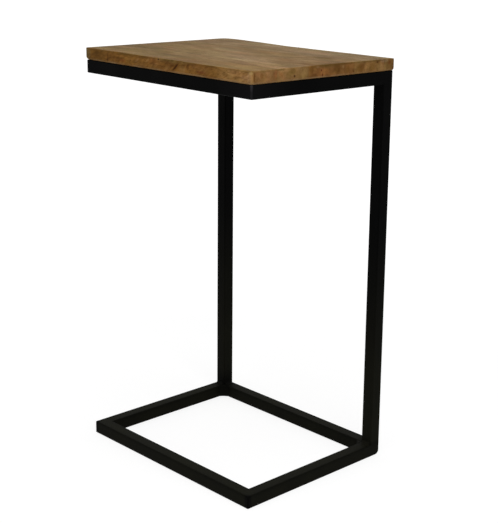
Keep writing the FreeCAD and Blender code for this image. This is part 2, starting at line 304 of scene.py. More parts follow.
    # mango's green-grey and pinkish casts, in broad patches: they turn the hue and keep the depth
    cast = add_node(tree, "Mapping", {"Vector": shifted, "Scale": (1 / 80, 1 / 26, 1 / 26)})
    cast = add_node(tree, "TexNoise", {"Vector": cast, "Scale": 1, "Detail": 2, "Distortion": 0.6})
    green = add_node(tree, "MapRange", {
        "Value": cast, "From Min": 0.50, "From Max": 0.64, "To Min": 0, "To Max": 1})
    pink = add_node(tree, "MapRange", {
        "Value": cast, "From Min": 0.49, "From Max": 0.36, "To Min": 0, "To Max": 1})
    wood = add_node(tree, "MixRGB", {
        "Fac": green, "Color1": wood, "Color2": colour("#F8FCF1")}, blend_type="MULTIPLY")
    wood = add_node(tree, "MixRGB", {
        "Fac": pink, "Color1": wood, "Color2": colour("#FFF7F7")}, blend_type="MULTIPLY")
    wood = add_node(tree, "MixRGB", {"Fac": pore, "Color1": wood, "Color2": colour("#4A2F16")})

    # knots, pin knots, streaks and checks where they lie in this stave, and on the front stave a painted
    # highlight
    wood = stained(tree, wood, ragged, marks)

    # along the sides, the band under the top edge is darker in places, and the rounded lower edge is
    # paler in patches: partly wear, partly a painted highlight of the light it catches from the floor
    height_mm = add_node(tree, "SeparateXYZ", {"Vector": mm}, "Z")
    side = add_node(tree, "MapRange", {
        "Value": upward, "From Min": 0.9, "From Max": 0.3, "To Min": 0, "To Max": 1})
    patchiness = add_node(tree, "Mapping", {"Vector": shifted, "Scale": (1 / 34, 1 / 34, 1 / 60)})
    patchiness = add_node(tree, "TexNoise", {"Vector": patchiness, "Scale": 1, "Detail": 2})
    band_patchiness = add_node(tree, "MapRange", {
        "Value": patchiness, "From Min": 0.40, "From Max": 0.60, "To Min": 0.10, "To Max": 0.75})
    under_edge_band = add_node(tree, "MapRange", {
        "Value": height_mm, "From Min": top_face - 3.6, "From Max": top_face - 1.2,
        "To Min": 0, "To Max": 1})
    under_edge_band = add_node(tree, "Math", {0: under_edge_band, 1: side}, operation="MULTIPLY")
    under_edge_band = add_node(tree, "Math", {0: under_edge_band, 1: band_patchiness}, operation="MULTIPLY")
    wood = add_node(tree, "MixRGB", {"Fac": under_edge_band, "Color1": wood, "Color2": colour("#4E3D1C")})
    # painted highlight, in part: the paler lower edge also stands in for the light from the floor
    paling_and_highlight = add_node(tree, "MapRange", {
        "Value": height_mm, "From Min": underside + 3.6, "From Max": underside + 1.6,
        "To Min": 0, "To Max": 1})
    patchy = add_node(tree, "MapRange", {
        "Value": patchiness, "From Min": 0.62, "From Max": 0.38, "To Min": 0.15, "To Max": 0.68})
    paling_and_highlight = add_node(tree, "Math", {0: paling_and_highlight, 1: patchy}, operation="MULTIPLY")
    not_below = add_node(tree, "MapRange", {
        "Value": upward, "From Min": -0.97, "From Max": -0.70, "To Min": 0, "To Max": 1})
    paling_and_highlight = add_node(tree, "Math", {0: paling_and_highlight, 1: not_below}, operation="MULTIPLY")
    wood = add_node(tree, "MixRGB", {"Fac": paling_and_highlight, "Color1": wood, "Color2": colour("#8C7150")})

    # handled upright corners are rubbed paler; the glue lines hold a little dark dust
    worn = add_node(tree, "Attribute", output="Fac", attribute_name="worn_edge")
    worn = add_node(tree, "Math", {0: worn, 1: figure}, operation="MULTIPLY")
    worn = add_node(tree, "MapRange", {
        "Value": worn, "From Min": 0.22, "From Max": 0.62, "To Min": 0, "To Max": 0.35})
    wood = add_node(tree, "MixRGB", {"Fac": worn, "Color1": wood, "Color2": colour("#9A7C4A")})
    joint = add_node(tree, "Attribute", output="Fac", attribute_name="glue_line")
    joint = add_node(tree, "Math", {0: joint, 1: 0.60}, operation="MULTIPLY")
    wood = add_node(tree, "MixRGB", {"Fac": joint, "Color1": wood, "Color2": colour("#3A2614")})

    # satin oil: pores and fibres break up the sheen
    sheen = add_node(tree, "Math", {0: fibre, 1: streak}, operation="ADD")
    rough = add_node(tree, "MapRange", {
        "Value": sheen, "From Min": 0.7, "From Max": 1.3, "To Min": 0.56, "To Max": 0.70})
    height = add_node(tree, "Math", {0: fibre, 1: 0.030}, operation="MULTIPLY")
    height = add_node(tree, "Math", {0: late_wood, 1: 0.030, 2: height}, operation="MULTIPLY_ADD")
    height = add_node(tree, "Math", {0: pore, 1: -0.09, 2: height}, operation="MULTIPLY_ADD")
    bumpy = add_node(tree, "Bump", {"Height": height, "Distance": MM, "Strength": 0.8}, "Normal")
    shader = add_node(tree, "BsdfPrincipled", {
        "Base Color": wood, "Roughness": rough, "Normal": bumpy, "IOR": 1.5, "Specular IOR Level": 0.025})
    add_node(tree, "OutputMaterial", {"Surface": shader})
    return material


# ---------------------------------------------------------------- board
top_radius, underside_radius, corner_radius = 1.5, 3.0, 3.3
front_right_radius = 5.5                  # the corner that is handled most
corner_reach = 26                         # how far along the edges a corner's extra rounding reaches
joint_places = (-half_depth, -105.5, -40.5, 60.5, 130.5, half_depth)
groove_depth, groove_half_width = 0.10, 0.7   # over each glue line
still_height = 8                          # the lowest part of the board, which isn't hollowed

# grid lines of the mesh, counted in from an outer edge, the underside, the top and a glue line
edge_steps = (0, 0.2, 0.5, 0.95, 1.5, 2.2, 3.0, 3.8, 4.8, 6.0, 7.6)
underside_steps = (0, 0.3, 0.8, 1.6, 2.5, 3.5, 4.6, 6.0, 7.6)
top_steps = (0, 0.25, 0.6, 1.0, 1.6, 2.4, 3.4, 4.6)
joint_steps = (0, 0.3, 0.8, 2.2)
plan_pitch, height_pitch = 5, 3           # of the grid lines in between

# how much lower the hand-planed top is along its back edge: place along the board, fall
back_strip = 26                           # width of the strip that falls
back_fall = ((-205, 0.9), (-180, 0.2), (-160, 0.2), (-120, 0.6), (-80, 1.2), (-40, 1.9),
             (0, 1.6), (20, 1.75), (60, 1.5), (120, 1.1), (180, 0.9), (205, 0.7))


def stations(low, high, low_steps, high_steps, pitch):
    """Grid lines: fine near both ends, even in between."""
    start, end = low + low_steps[-1], high - high_steps[-1]
    count = max(1, round((end - start) / pitch))
    inside = [start + (end - start) * i / count for i in range(1, count)]
    return [low + s for s in low_steps] + inside + [high - s for s in reversed(high_steps)]


def grid_box(xs, ys, zs):
    """Closed skin of a box with grid lines at the given stations."""
    sizes = (len(xs), len(ys), len(zs))
    numbers, points, faces = {}, [], []

    def number(i, j, k):
        if (i, j, k) not in numbers:
            numbers[i, j, k] = len(points)
            points.append((xs[i], ys[j], zs[k]))
        return numbers[i, j, k]

    for axis in range(3):
        a, b = (axis + 1) % 3, (axis + 2) % 3
        for end in (0, sizes[axis] - 1):
            for i in range(sizes[a] - 1):
                for j in range(sizes[b] - 1):
                    ring = []
                    for da, db in ((0, 0), (1, 0), (1, 1), (0, 1)):
                        place = [0, 0, 0]
                        place[axis], place[a], place[b] = end, i + da, j + db
                        ring.append(number(*place))
                    faces.append(ring if end else ring[::-1])
    return np.array(points, float), faces


def wander(x, y, z, wavelength, seed):
    """Smooth noise from about -1 to 1, for each point."""
    return np.array([
        noise.noise(Vector((a / wavelength + seed, b / wavelength - seed, c / wavelength)))
        for a, b, c in zip(x, y, z)])


def rounded(points):
    """
    The sharp board worked to its rounded, slightly uneven shape, and how deep each point lies in
    the rounding of an upright corner, from 0 to 1.
    """
    x, y, z = points.T.copy()
    level = 0 * x
    soft = wander(x, y, level, wavelength=46, seed=3.7)
    soft = soft + 0.5 * wander(x, y, level, wavelength=17, seed=8.1)

    # upright corners
    plan_radius = np.where((x > 0) & (y < 0), front_right_radius, corner_radius)
    across, along = np.abs(x) - (half_length - plan_radius), np.abs(y) - (half_depth - plan_radius)
    corner = (across > 0) & (along > 0)
    far, wide = np.maximum(across, along), np.hypot(across, along)
    share = np.where(corner, far / np.maximum(wide, 1e-9), 1)
    worn = np.where(corner, np.minimum(across, along) / np.maximum(far, 1e-9), 0)
    x = np.where(corner, np.sign(x) * (half_length - plan_radius + across * share), x)
    y = np.where(corner, np.sign(y) * (half_depth - plan_radius + along * share), y)

    # which way is out, and how far in from the outline each point is
    across, along = np.abs(x) - (half_length - plan_radius), np.abs(y) - (half_depth - plan_radius)
    wide = np.maximum(np.hypot(across, along), 1e-9)
    out_x = np.sign(x) * np.where(corner, across / wide, np.where(across > along, 1, 0))
    out_y = np.sign(y) * np.where(corner, along / wide, np.where(across > along, 0, 1))
    inset = plan_radius - np.where(corner, wide, np.maximum(across, along))

    # upper and lower edges: two corners are sanded rounder below, and one above
    front_right, front_left, back_right = (
        np.exp(-np.hypot(x - side * half_length, y - end * half_depth) / corner_reach)
        for side, end in ((1, -1), (-1, -1), (1, 1)))
    upper = np.clip(top_radius * (1.05 + 0.55 * soft) + 2.9 * front_right, 0.9, 4.5)
    lower = underside_radius * (0.94 + 0.12 * soft) + 3.2 * front_left + 1.4 * back_right
    lower = np.clip(lower, 2.0, 7.5)
    for radius, up, face in ((upper, 1, top_face), (lower, -1, underside)):
        over = radius - inset
        above = up * (z - face) + radius
        edge = (over > 0) & (above > 0)
        far, wide = np.maximum(over, above), np.maximum(np.hypot(over, above), 1e-9)
        share = np.where(edge, far / wide, 1)
        shift = np.where(edge, over * (share - 1), 0)
        x, y = x + out_x * shift, y + out_y * shift
        z = np.where(edge, face + up * (above * share - radius), z)

    # hand-planed faces: never outside the square board
    thickness = top_face - underside
    height_share = np.clip((z - underside - still_height) / (thickness - still_height), 0, 1)
    hollow = 0.14 * (1 + wander(x, y, level, wavelength=62, seed=1.3))
    hollow = hollow + 0.05 * (1 + wander(x, y, level, wavelength=19, seed=5.9))
    hollow = hollow * (0.3 + 0.7 * np.clip(inset / 24, 0, 1))
    places, falls = zip(*back_fall)
    towards_back = np.clip((y - (half_depth - back_strip)) / back_strip, 0, 1)
    hollow = hollow + np.interp(x, places, falls) * towards_back ** 2.2
    for joint_place in joint_places[1:-1]:
        hollow = hollow + groove_depth * np.clip(1 - np.abs(y - joint_place) / groove_half_width, 0, 1)
    z = z - hollow * height_share
    side = 0.12 + 0.12 * wander(x, y, z * 0.6, wavelength=40, seed=21.0)
    side = np.clip(1 - inset / 6, 0, 1) * side
    x, y = x - out_x * side, y - out_y * side
    return np.stack([x, y, z], 1), worn


def stave(number, material):
    """One stave's share of the worked board, between its glue lines."""
    front, rear = joint_places[number - 1], joint_places[number]
    front_steps = edge_steps if number == 1 else joint_steps
    rear_steps = edge_steps if number == 5 else joint_steps
    xs = stations(-half_length, half_length, edge_steps, edge_steps, plan_pitch)
    ys = stations(front, rear, front_steps, rear_steps, plan_pitch)
    zs = stations(underside, top_face, underside_steps, top_steps, height_pitch)
    square, faces = grid_box(xs, ys, zs)
    points, worn = rounded(square)
    glue = np.zeros(len(square))
    for joint_place in (front, rear):
        if abs(joint_place) < half_depth:
            glue = np.maximum(glue, np.abs(square[:, 1] - joint_place) < 0.1)
    mesh_piece(f"stave_{number}", points, faces, material, [f"board_stave_{number}"],
               {"worn_edge": worn, "glue_line": glue})


# each stave: where its pith runs (across the board, height), the width of a growth ring, its own
# seed, the middle browns of its top and sides, its paler and darker zones, and its marks; a zone or
# a mark has its middle, half size, turn, hue and strength
knot, red_check = "#38200C", "#4A1E0C"
front, end, top = -half_depth, half_length, top_face
# the broad zones near the left end, darker, and near the right end, paler, are partly the wood's tone and
# partly painted shade and light: the fall-off of the lamp at the right
wood_1 = mango_wood("oiled_mango_front_stave", (-196, 664), 7.5, 1, "#735B38", "#785632", [
    # the front side, from left to right
    ((-186, front, 680), (70, 12, 20), (0, 0, 0), "#5D3F19", 0.80),
    ((-110, front, 680), (60, 12, 20), (0, 0, 0), "#6C4A1E", 0.50),
    ((186, front, 680), (80, 12, 20), (0, 0, 0), "#906E40", 0.85),
    ((-198.5, front, 680), (7.5, 5, 18), (0, 0, 0), "#5B4A2E", 0.75),
    ((-112, front, 688.0), (42, 6, 3.4), (0, 0, 0), "#5E3E14", 0.50),
    ((-54, front, 674.4), (17, 6, 4.4), (0, 0, 0), "#7C5730", 0.70),
    ((100, front, 681.0), (20, 6, 5.5), (0, 0, 0), "#7E5A32", 0.50),
    ((-192.0, front, 680), (2.0, 5, 12), (0, 0, 0), "#6E5838", 0.50),
    ((-103.8, front, 677.4), (11, 6, 3.4), (0, 0, 0), "#7A4420", 0.55),
    ((-90, front, 682.0), (26, 6, 2.6), (0, 6, 0), "#80562A", 0.45),
    ((-64.3, front, 681.0), (9, 6, 2.6), (0, -32, 0), "#86603A", 0.60),
    ((-46.0, front, 687.4), (24, 6, 3.2), (0, 0, 0), "#5A3A18", 0.60),
    ((-22.0, front, 677.0), (18, 6, 4.6), (0, -20, 0), "#825E34", 0.55),
    ((8.0, front, 685.4), (17, 6, 4.2), (0, 0, 0), "#593814", 0.50),
    ((11.0, front, 675.6), (13, 6, 4.6), (0, -24, 0), "#8A6438", 0.75),
    ((48.0, front, 677.6), (10, 6, 7.6), (0, 0, 0), "#7C5A34", 0.60),
    ((79.0, front, 683.4), (12, 6, 2.4), (0, -14, 0), "#805A32", 0.50),
    ((92.0, front, 677.4), (15, 6, 2.6), (0, 0, 0), "#63321A", 0.50),
    ((118.0, front, 679.0), (22, 6, 7.0), (0, 0, 0), "#724E24", 0.50),
    ((164, front, 686.6), (19, 6, 5.6), (0, 0, 0), "#6C4E2E", 0.55),
    ((189, front, 679.0), (11, 5, 5.5), (0, 0, 0), "#987650", 0.50),
    ((198.6, front, 680), (6.0, 5, 15), (0, 0, 0), "#9C7C54", 0.85),
    # the top of this stave
    ((160, -120, top), (90, 44, 8), (0, 0, 0), "#84683F", 0.70),
    ((-165, -125, top), (70, 34, 8), (0, 0, 0), "#6A5732", 0.60),
    ((-173, -140, top), (24, 11, 8), (0, 0, 0), "#776439", 0.60),
    ((-54, -108, top), (28, 9, 8), (0, 0, 0), "#66502A", 0.60),
    ((23, -124, top), (34, 9, 8), (0, 0, 14), "#684C25", 0.65),
    ((48, -101, top), (30, 9, 8), (0, 0, 0), "#7C613C", 0.50),
    # its end grain
    ((end, -136.5, 681.5), (6, 5.0, 5.5), (25, 0, 0), "#664220", 0.60),
    ((end, -119.5, 685.4), (6, 16.0, 7.0), (0, 0, 0), "#86643E", 0.80),
    ((end, -128.0, 681.0), (6, 2.8, 4.5), (0, 0, 0), "#684622", 0.50),
    ((end, -107.0, 682.0), (6, 8.0, 10.0), (0, 0, 0), "#885834", 0.65),
], [
    ((-142.6, front, 680.0), (2.4, 6, 7.5), (0, 0, 0), "#46280C", 0.42),
    ((-143.0, front, 675.0), (3.2, 6, 3.2), (0, 0, 0), knot, 0.50),
    ((-37.0, front, 683.6), (8, 6, 2.4), (0, -34, 0), "#94703F", 0.55),
    ((-9.9, front, 687.4), (2.2, 3, 1.7), (0, 0, 0), "#24140A", 0.90),
    ((34, front, 681.0), (19, 12, 5.4), (0, -38, 0), "#5A3610", 0.40),
    ((31.5, front, 679.6), (12.5, 9, 2.5), (0, -38, 0), "#2E1504", 0.85),
    ((61.0, front, 682.0), (4.6, 7, 8.0), (0, 4, 0), "#3E220A", 0.50),
    ((147.5, front, 676.6), (9, 5, 1.7), (0, -34, 0), "#6C3E1C", 0.45),
    ((163.0, front, 676.0), (9, 5, 1.7), (0, -34, 0), "#74481F", 0.40),
    ((200.2, front, 680.0), (4.6, 6, 12), (0, 0, 0), "#8C6A42", 0.60),
    # a painted highlight at the top of the rounded front right corner
    ((200.4, front, 686.6), (5.0, 6, 3.4), (0, 0, 0), "#A28655", 0.65),
    ((end, -150.6, 681.0), (5, 2.0, 10.5), (0, 0, 0), "#56320F", 0.70),
])
wood_2 = mango_wood("oiled_mango_second_stave", (-70, 676), 6.5, 2, "#775F3D", "#7B5C36", [
    ((-190, -73, top), (150, 45, 9), (0, 0, 0), "#665431", 0.75),
    ((160, -90, top), (80, 26, 8), (0, 0, 0), "#866A46", 0.65),
    ((-158, -73, top), (17, 9, 9), (0, 0, 0), "#543E1C", 0.60),
    ((-127, -71, top), (14, 9, 9), (0, 0, 0), "#58421E", 0.55),
    ((-94, -68, top), (24, 13, 9), (0, 0, 0), "#785836", 0.60),
    ((88, -64, top), (32, 13, 9), (0, 0, 0), "#967C5C", 0.85),
    ((end, -98.0, 683.0), (6, 8.0, 8.0), (0, 0, 0), "#845B31", 0.50),
    ((end, -89.0, 688.0), (6, 21.0, 5.0), (0, 0, 0), "#8C6C42", 0.70),
    ((end, -57.0, 688.0), (6, 10.0, 4.5), (0, 0, 0), "#886A44", 0.60),
    ((end, -74.0, 684.0), (6, 10.0, 8.0), (0, 0, 0), "#684F24", 0.60),
    ((end, -50.5, 679.0), (6, 10.0, 13.0), (0, 0, 0), "#886A40", 0.65),
], [
    ((end, -69.8, 676.6), (6, 2.8, 2.5), (0, 0, 0), knot, 0.90),
])
wood_3 = mango_wood("oiled_mango_middle_stave", (-138, 705), 8.5, 3, "#785F3E", "#704D28", [
    ((-190, 10, top), (90, 60, 9), (0, 0, 0), "#6C5734", 0.60),
    ((185, 0, top), (60, 44, 9), (0, 0, 0), "#735736", 0.60),
    ((-134, -38, top), (15, 12, 9), (0, 0, 0), "#7A5831", 0.55),
    ((-88, -28, top), (44, 14, 9), (0, 0, 0), "#7C683E", 0.65),
    ((-18, -32, top), (38, 13, 9), (0, 0, -12), "#866F4A", 0.70),
    ((-134, 50, top), (36, 10, 9), (0, 0, 0), "#655030", 0.60),
    ((24, 45, top), (44, 22, 9), (0, 0, 0), "#7A5C36", 0.60),
    ((112, 34, top), (28, 9, 9), (0, 0, 52), "#674C2A", 0.75),
    ((152, 10, top), (28, 10, 9), (0, 0, 20), "#806848", 0.70),
    ((end, -34.0, 683.5), (6, 6.5, 9.0), (0, 0, 0), "#593A17", 0.65),
    ((end, -31.0, 673.6), (6, 13.0, 5.6), (0, 0, 0), "#54381A", 0.65),
    ((end, -20.5, 687.6), (6, 5.0, 3.4), (0, 0, 0), "#806040", 0.60),
    ((end, -6.0, 678.5), (6, 13.0, 8.0), (0, 0, 0), "#8E5F34", 0.70),
    ((end, 22.4, 681.0), (6, 10.0, 9.0), (0, 0, 0), "#5A3D18", 0.62),
    ((end, 34.8, 684.4), (6, 4.0, 3.4), (0, 0, 0), "#80623C", 0.65),
    ((end, 46.1, 679.6), (6, 5.0, 9.0), (0, 0, 0), "#5B3C14", 0.55),
], [
    ((158, -31, top), (38, 7.5, 9), (0, 0, 15), "#5A3F1B", 0.60),
    ((203, 2, top), (9, 44, 7), (0, 0, 0), "#583D14", 0.60),
    ((end, -13.1, 681.8), (5, 1.9, 2.0), (0, 0, 0), red_check, 0.90),
    ((end, -9.8, 674.2), (5, 2.0, 4.6), (8, 0, 0), red_check, 0.95),
    ((end, 59.0, 675.8), (5, 2.4, 3.0), (0, 0, 0), "#4A2C0C", 0.60),
])
wood_4 = mango_wood("oiled_mango_fourth_stave", (178, 670), 9.0, 4, "#7A6445", "#73532D", [
    ((-190, 95, top), (90, 60, 9), (0, 0, 0), "#6E583A", 0.60),
    ((-98, 122, top), (30, 12, 9), (0, 0, 0), "#80714F", 0.65),
    ((-50, 124, top), (40, 12, 9), (0, 0, 0), "#88775E", 0.65),
    ((98, 104, top), (15, 11, 9), (0, 0, 0), "#886A50", 0.65),
    ((112, 122, top), (30, 13, 9), (0, 0, 0), "#827252", 0.65),
    ((end, 75.0, 679.2), (6, 11.0, 9.0), (0, 0, 0), "#5A3B13", 0.65),
    ((end, 88.0, 680.0), (6, 5.0, 10.0), (0, 0, 0), "#7E5C32", 0.55),
    ((end, 102.0, 678.2), (6, 9.5, 10.0), (0, 0, 0), "#5A3E17", 0.60),
    ((end, 123.5, 677.5), (6, 11.0, 10.0), (0, 0, 0), "#80623A", 0.70),
    ((end, 128.0, 688.0), (6, 9.0, 5.0), (0, 0, 0), "#8A7052", 0.80),
], [
    ((142, 69, top), (28, 7.5, 9), (0, 0, 24), "#5A401C", 0.60),
    ((end, 114.7, 686.0), (5, 3.0, 2.4), (0, 0, 0), "#402408", 0.80),
])
wood_5 = mango_wood("oiled_mango_back_stave", (62, 702), 8.0, 5, "#796443", "#6A4C29", [
    ((end, 131.5, 679.0), (6, 7.0, 11.0), (0, 0, 0), "#80623A", 0.65),
    ((end, 132.5, 688.0), (6, 10.0, 5.0), (0, 0, 0), "#8A7052", 0.85),
    ((end, 143.3, 683.6), (5, 5.0, 5.0), (0, 0, 0), "#562E12", 0.70),
], [])
for number, material in enumerate((wood_1, wood_2, wood_3, wood_4, wood_5), start=1):
    stave(number, material)


# ---------------------------------------------------------------- steel
ground_edge = (half_frame_x - 1.2, half_frame_y - 0.4, 0)
left_foot = (-190, 142, 20)


def satin_black_paint():
    """Sprayed satin black on mild steel: faint orange peel, dust and painted sheen low down, wiped
    corners, painted highlight and shade.
    """
    material, tree = new_material("satin_black_paint_on_steel")
    mm = place_in_mm(tree)
    cloud = add_node(tree, "TexNoise", {"Vector": mm, "Scale": 1 / 55, "Detail": 4, "Roughness": 0.6})
    # orange peel is about 1.5 mm across: drawn 2.5 mm across, so that it shows; dust nibs in the
    # paint are about 0.2 mm: drawn 0.7 mm across
    peel = add_node(tree, "TexNoise", {"Vector": mm, "Scale": 1 / 2.5, "Detail": 2})
    grit = add_node(tree, "TexNoise", {"Vector": mm, "Scale": 1 / 0.7, "Detail": 1})

    # how far each point is, in plan, from the ground edge of the nearest outer corner, and whether
    # that corner is in front
    where_x = add_node(tree, "SeparateXYZ", {"Vector": mm}, "X")
    where_y, height_mm = where_x.node.outputs["Y"], where_x.node.outputs["Z"]
    in_front = add_node(tree, "Math", {0: where_y, 1: 0}, operation="LESS_THAN")
    from_corner = add_node(tree, "VectorMath", {0: mm}, operation="ABSOLUTE")
    from_corner = add_node(tree, "VectorMath", {0: from_corner, 1: ground_edge}, operation="SUBTRACT")
    from_corner = add_node(tree, "VectorMath", {0: from_corner, 1: (1, 1, 0)}, operation="MULTIPLY")
    from_corner = add_node(tree, "VectorMath", {0: from_corner}, "Value", operation="LENGTH")

    # the black is paler towards the floor and on what faces up, partly dust and partly painted light
    # from the floor and from above, and the dust is wiped off the front corners
    low_down = add_node(tree, "MapRange", {
        "Value": height_mm, "From Min": 430, "From Max": 60, "To Min": 0, "To Max": 1},
        interpolation_type="SMOOTHSTEP")
    dust_and_painted_light = add_node(tree, "MapRange", {
        "Value": cloud, "From Min": 0.25, "From Max": 0.70, "To Min": 0.36, "To Max": 0.74})
    normal = add_node(tree, "TexCoord", output="Normal")
    facing_up = add_node(tree, "SeparateXYZ", {"Vector": normal}, "Z")
    up_facing_share = add_node(tree, "MapRange", {
        "Value": facing_up, "From Min": 0.5, "From Max": 0.97, "To Min": 1, "To Max": 1.40})
    wiped = add_node(tree, "MapRange", {
        "Value": from_corner, "From Min": 3.5, "From Max": 9.0, "To Min": 0.12, "To Max": 1})
    back_half = add_node(tree, "Math", {0: where_y, 1: 0}, operation="GREATER_THAN")
    wiped = add_node(tree, "Math", {0: wiped, 1: back_half}, operation="MAXIMUM")
    # painted shade: the black is darker round the foot of the left post, where shade falls in the corner
    from_foot = add_node(tree, "VectorMath", {0: mm, 1: left_foot}, "Value", operation="DISTANCE")
    foot_shade = add_node(tree, "MapRange", {
        "Value": from_foot, "From Min": 16, "From Max": 36, "To Min": 0.30, "To Max": 1})
    # painted reflection: the upper edges of the base are darker, a dark reflection painted into their
    # rounding: how far a point is from one of them
    over_x = add_node(tree, "Math", {0: where_x}, operation="ABSOLUTE")
    over_x = add_node(tree, "Math", {0: over_x, 1: -half_frame_x}, operation="ADD")
    over_y = add_node(tree, "Math", {0: where_y}, operation="ABSOLUTE")
    over_y = add_node(tree, "Math", {0: over_y, 1: -half_frame_y}, operation="ADD")
    from_middle = add_node(tree, "Math", {0: over_x, 1: over_y}, operation="MAXIMUM")
    from_middle = add_node(tree, "Math", {0: from_middle, 1: tube / 2}, operation="ADD")
    from_middle = add_node(tree, "Math", {0: from_middle}, operation="ABSOLUTE")
    in_section = add_node(tree, "CombineXYZ", {"X": from_middle, "Y": height_mm})
    from_edge = add_node(tree, "VectorMath", {0: in_section, 1: (tube / 2, tube, 0)}, "Value",
                         operation="DISTANCE")
    edge_dark_reflection = add_node(tree, "MapRange", {
        "Value": from_edge, "From Min": 1.0, "From Max": 7.0, "To Min": 0.62, "To Max": 1})
    for share in (low_down, up_facing_share, wiped, foot_shade, edge_dark_reflection):
        dust_and_painted_light = add_node(tree, "Math", {0: dust_and_painted_light, 1: share}, operation="MULTIPLY")
    # dust and painted light: the paler black is dust and painted sheen, less where painted shade falls
    black = add_node(tree, "MixRGB", {
        "Fac": dust_and_painted_light, "Color1": colour("#040404"), "Color2": colour("#1A1A13")})

    # the top frame is a little paler towards its front right corner, and the ground edges of both its
    # front corners carry a painted highlight, brightest at their upper end
    at_top = add_node(tree, "Math", {0: height_mm, 1: frame_top - 30}, operation="GREATER_THAN")
    at_top = add_node(tree, "Math", {0: at_top, 1: in_front}, operation="MULTIPLY")
    paler_near_corner = add_node(tree, "MapRange", {
        "Value": from_corner, "From Min": 80, "From Max": 8, "To Min": 0, "To Max": 0.09})
    on_right = add_node(tree, "Math", {0: where_x, 1: 0}, operation="GREATER_THAN")
    paler_near_corner = add_node(tree, "Math", {0: paler_near_corner, 1: on_right}, operation="MULTIPLY")
    paling_and_highlight = add_node(tree, "MapRange", {
        "Value": from_corner, "From Min": 3.6, "From Max": 0.6, "To Min": 0, "To Max": 1},
        interpolation_type="SMOOTHSTEP")
    high_up = add_node(tree, "MapRange", {
        "Value": height_mm, "From Min": frame_top - 11, "From Max": frame_top - 1,
        "To Min": 0.40, "To Max": 1.0})
    paling_and_highlight = add_node(tree, "Math", {0: paling_and_highlight, 1: high_up}, operation="MULTIPLY")
    paling_and_highlight = add_node(tree, "Math", {0: paling_and_highlight, 1: paler_near_corner}, operation="MAXIMUM")
    paling_and_highlight = add_node(tree, "Math", {0: paling_and_highlight, 1: at_top}, operation="MULTIPLY")
    # painted highlight: this pale grey stands in for the light caught by the ground corner edges
    black = add_node(tree, "MixRGB", {"Fac": paling_and_highlight, "Color1": black, "Color2": colour("#2E2C2E")})

    rough = add_node(tree, "MapRange", {
        "Value": cloud, "From Min": 0.3, "From Max": 0.7, "To Min": 0.52, "To Max": 0.64})
    bump = add_node(tree, "Math", {0: peel, 1: 0.016}, operation="MULTIPLY")
    bump = add_node(tree, "Math", {0: grit, 1: 0.004, 2: bump}, operation="MULTIPLY_ADD")
    bumpy = add_node(tree, "Bump", {"Height": bump, "Distance": MM, "Strength": 0.7}, "Normal")
    shader = add_node(tree, "BsdfPrincipled", {
        "Base Color": black, "Roughness": rough, "Normal": bumpy, "IOR": 1.5, "Specular IOR Level": 0.014})
    add_node(tree, "OutputMaterial", {"Surface": shader})
    return material


def zinc_plate():
    """Bright zinc plating on the screws: pale metal with a faint blue and yellow cast."""
    material, tree = new_material("bright_zinc_plated_steel")
    cast = add_node(tree, "TexNoise", {"Vector": place_in_mm(tree), "Scale": 1 / 3, "Detail": 2})
    tint = add_node(tree, "ValToRGB", {"Fac": cast}, stops=[
        (0.35, colour("#9FA4A8")), (0.65, colour("#B0AB9B"))])
    rough = add_node(tree, "MapRange", {
        "Value": cast, "From Min": 0.3, "From Max": 0.7, "To Min": 0.28, "To Max": 0.42})
    shader = add_node(tree, "BsdfPrincipled", {"Base Color": tint, "Metallic": 1.0, "Roughness": rough})
    add_node(tree, "OutputMaterial", {"Surface": shader})
    return material


paint = satin_black_paint()
zinc = zinc_plate()
for name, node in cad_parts.items():
    if name.startswith("board_"):
        continue
    node.data.materials.clear()
    node.data.materials.append(zinc if name == "tab_screws" else paint)

# ---------------------------------------------------------------- weld beads
small_leg = 3.0                           # of the ordinary fillet
ring_pitch = 0.55                         # of the mesh rings along a bead
ripple_pitch = 2.1                        # from one pause of the torch to the next
profile_steps = 8
tab_x, tab_thickness, tab_bead_length = 121, 3, 20.0


def bead(corner, along, leg_a, leg_b, leg, length, seed):
    """
    One fillet in an inner corner, along the given axis, between the two faces that its legs follow:
    slightly hollow, rippled where the torch paused, closing at both ends.
    """
    corner, along = np.array(corner, float), np.array(along, float)
    leg_a, leg_b = np.array(leg_a, float), np.array(leg_b, float)
    rings = max(8, round(length / ring_pitch))
    closing = min(2.0, 5 / leg)           # the length in which each end closes
    points, faces = [], []
    for i in range(rings + 1):
        t = i / rings
        place = corner + along * (length * (t - 0.5))
        from_end = min(1.0, min(t, 1 - t) * length / closing)
        close = math.sqrt(1 - (1 - from_end) ** 2)
        pace = t * length / ripple_pitch + 0.2 * noise.noise(Vector((seed, t * 4, 0)))
        ripple = abs(math.sin(math.pi * pace))
        uneven = 0.93 + 0.07 * noise.noise(Vector((t * length / 5, seed, 2)))
        size = leg * (0.30 + 0.70 * close) * uneven
        points.append(place)
        for j in range(profile_steps + 1):
            u = j / profile_steps
            sag = 0.16 - 0.035 * ripple
            a, b = (1 - u) * size, u * size
            pull = sag * size * math.sin(math.pi * u) * 0.5
            points.append(place + leg_a * max(a - pull, 0) + leg_b * max(b - pull, 0))
    row = profile_steps + 2
    for i in range(rings):
        for j in range(row):
            k = (j + 1) % row
            faces.append([i * row + j, i * row + k, (i + 1) * row + k, (i + 1) * row + j])
    faces.append(list(range(row))[::-1])
    faces.append([rings * row + j for j in range(row)])
    if np.dot(np.cross(leg_a, leg_b), along) < 0:
        faces = [f[::-1] for f in faces]
    return np.array(points), faces


def bead_group(name, runs):
    """All the fillets of one node as one piece."""
    points, faces = [], []
    for seed, run in enumerate(runs):
        more_points, more_faces = bead(*run, seed=seed + len(name))
        faces += [[index + len(points) for index in face] for face in more_faces]
        points += list(more_points)
    mesh_piece(name.replace("beads", "weld"), points, faces, paint, [name],
               sharp_deg=60)


X, Y, Z = np.eye(3)


